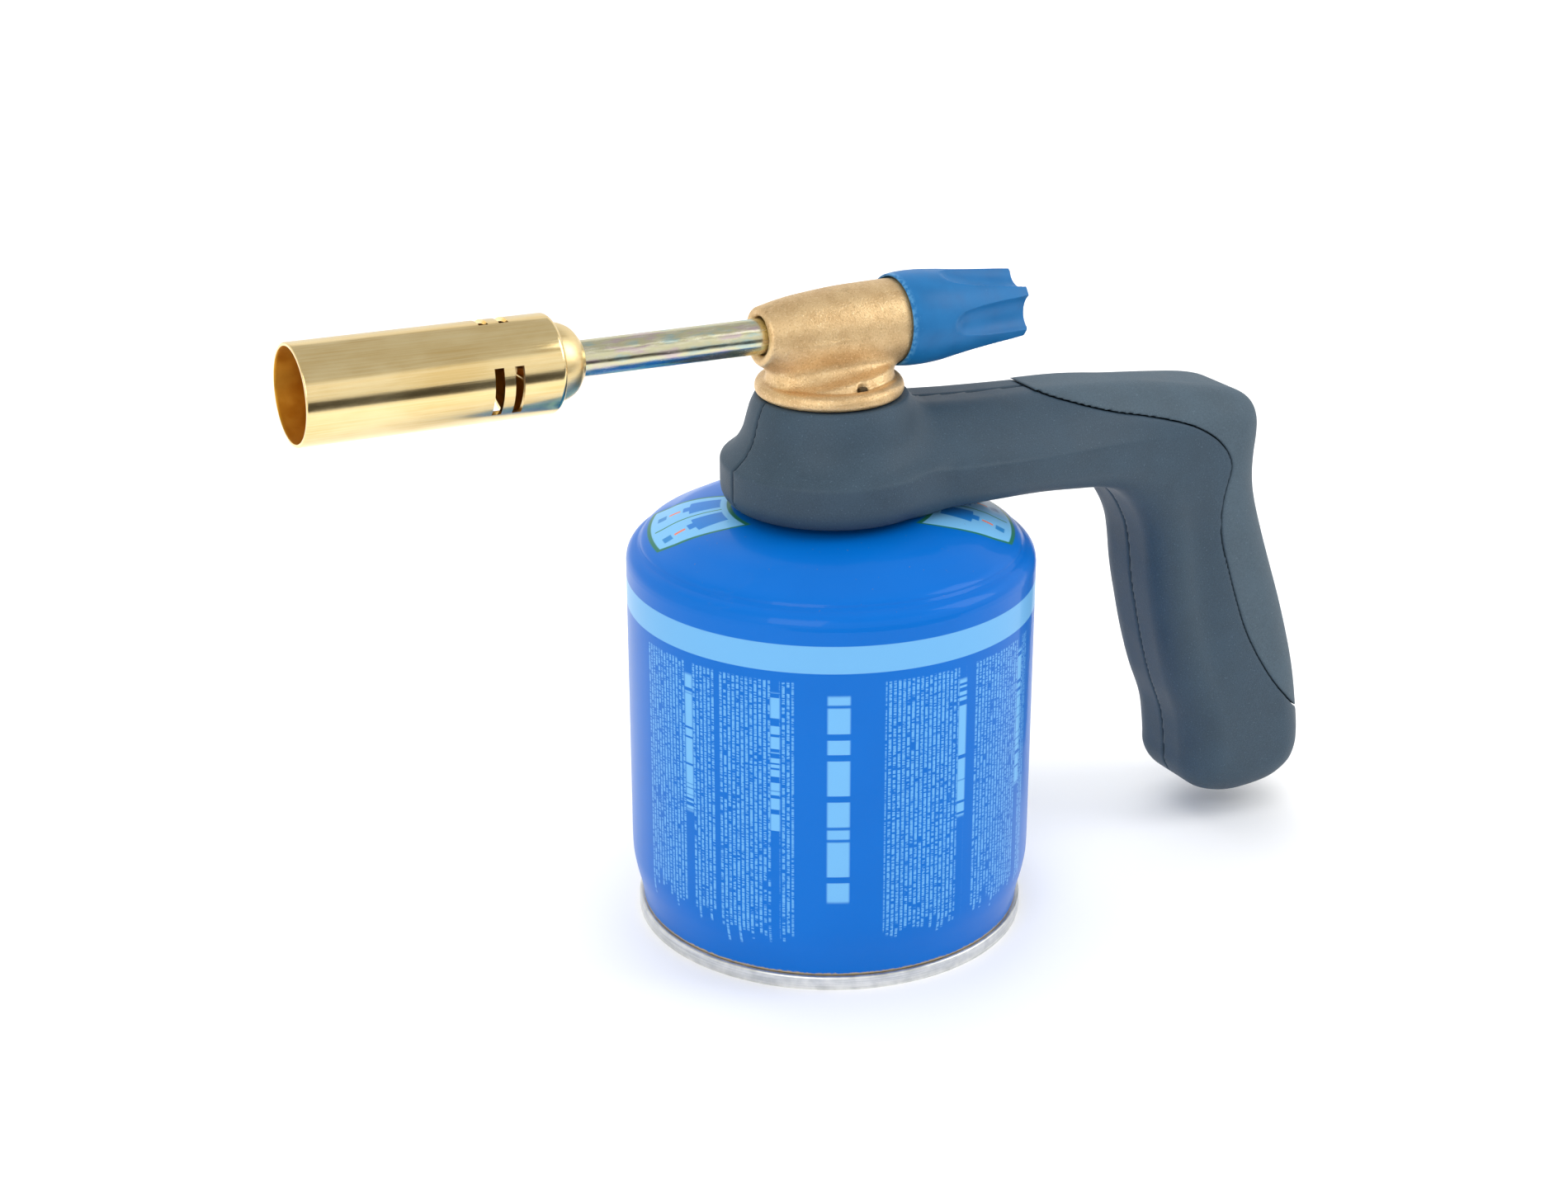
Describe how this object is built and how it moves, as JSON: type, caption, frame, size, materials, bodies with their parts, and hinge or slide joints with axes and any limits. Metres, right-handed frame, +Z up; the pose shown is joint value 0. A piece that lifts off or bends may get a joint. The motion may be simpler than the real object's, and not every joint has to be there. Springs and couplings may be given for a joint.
{
  "type": "gas cartridge hand torch",
  "caption": "Hand-held gas torch: slotted burner on a steel tube, cast brass valve with a turning knob, pistol-grip handle, on a cylindrical gas cartridge.",
  "frame": {"origin": "on the cartridge's axis, in the plane it stands on", "axes": "+Z up along the cartridge's axis, the burner points along -X, the handle reaches along +X, and y = 0 is the plane of symmetry with the handle's parting line"},
  "size_m": [0.2472, 0.09, 0.1491],
  "materials": {
    "can_paint": "gloss enamel",
    "tinplate": "bright tinplate",
    "steel": "zinc-plated",
    "tube_zinc": "yellow-passivated zinc",
    "white_plastic": "moulded",
    "seal_rubber": "matt",
    "grip_plastic": "fine-grained moulding",
    "soft_insert": "soft-touch",
    "cast_brass": "sand-cast and tumbled",
    "turned_brass": "turned and polished",
    "knob_plastic": "satin moulding"
  },
  "bodies": {
    "cartridge": {"can_shell": "can_paint", "can_base": "tinplate", "valve_cup": "tinplate", "valve_housing": "white_plastic", "valve_gasket": "seal_rubber", "valve_plunger": "white_plastic", "valve_spring": "steel"},
    "head": {"housing_left": "grip_plastic", "housing_right": "grip_plastic", "grip_insert": "soft_insert", "screw_hub": "steel", "screw_elbow": "steel", "screw_grip": "steel", "screw_foot": "steel", "lock_ring": "steel", "wave_washer": "steel", "lock_nut": "turned_brass", "brass_body": "cast_brass", "flange_pin": "steel", "inlet_seal": "seal_rubber", "inlet_pusher": "turned_brass", "inlet_filter": "turned_brass", "burner_tube": "tube_zinc", "gas_jet": "turned_brass", "burner_dome": "turned_brass", "burner_barrel": "turned_brass", "flame_holder": "turned_brass", "gland_nut": "turned_brass"},
    "seal_carrier": {"spindle_seal": "seal_rubber"},
    "knob": {"knob": "knob_plastic", "needle_spindle": "turned_brass", "knob_clip": "steel"}
  },
  "joints": [
    {"name": "head_twist", "type": "hinge", "parent": "cartridge", "child": "head", "pos_m": [0, 0, 0.1], "axis": [0, 0, 1], "range_deg": [0, 60]},
    {"name": "needle_travel", "type": "slide", "parent": "head", "child": "seal_carrier", "axis": [0.9997, 0, -0.0244], "range_m": [0, 0.0012]},
    {"name": "knob_turn", "type": "hinge", "parent": "seal_carrier", "child": "knob", "pos_m": [0, 0, 0.1359], "axis": [0.9997, 0, -0.0244], "range_deg": [0, 540]}
  ],
  "couplings": [
    {"joint": "needle_travel", "follows": "knob_turn", "m_per_rad": 0.00011937}
  ]
}
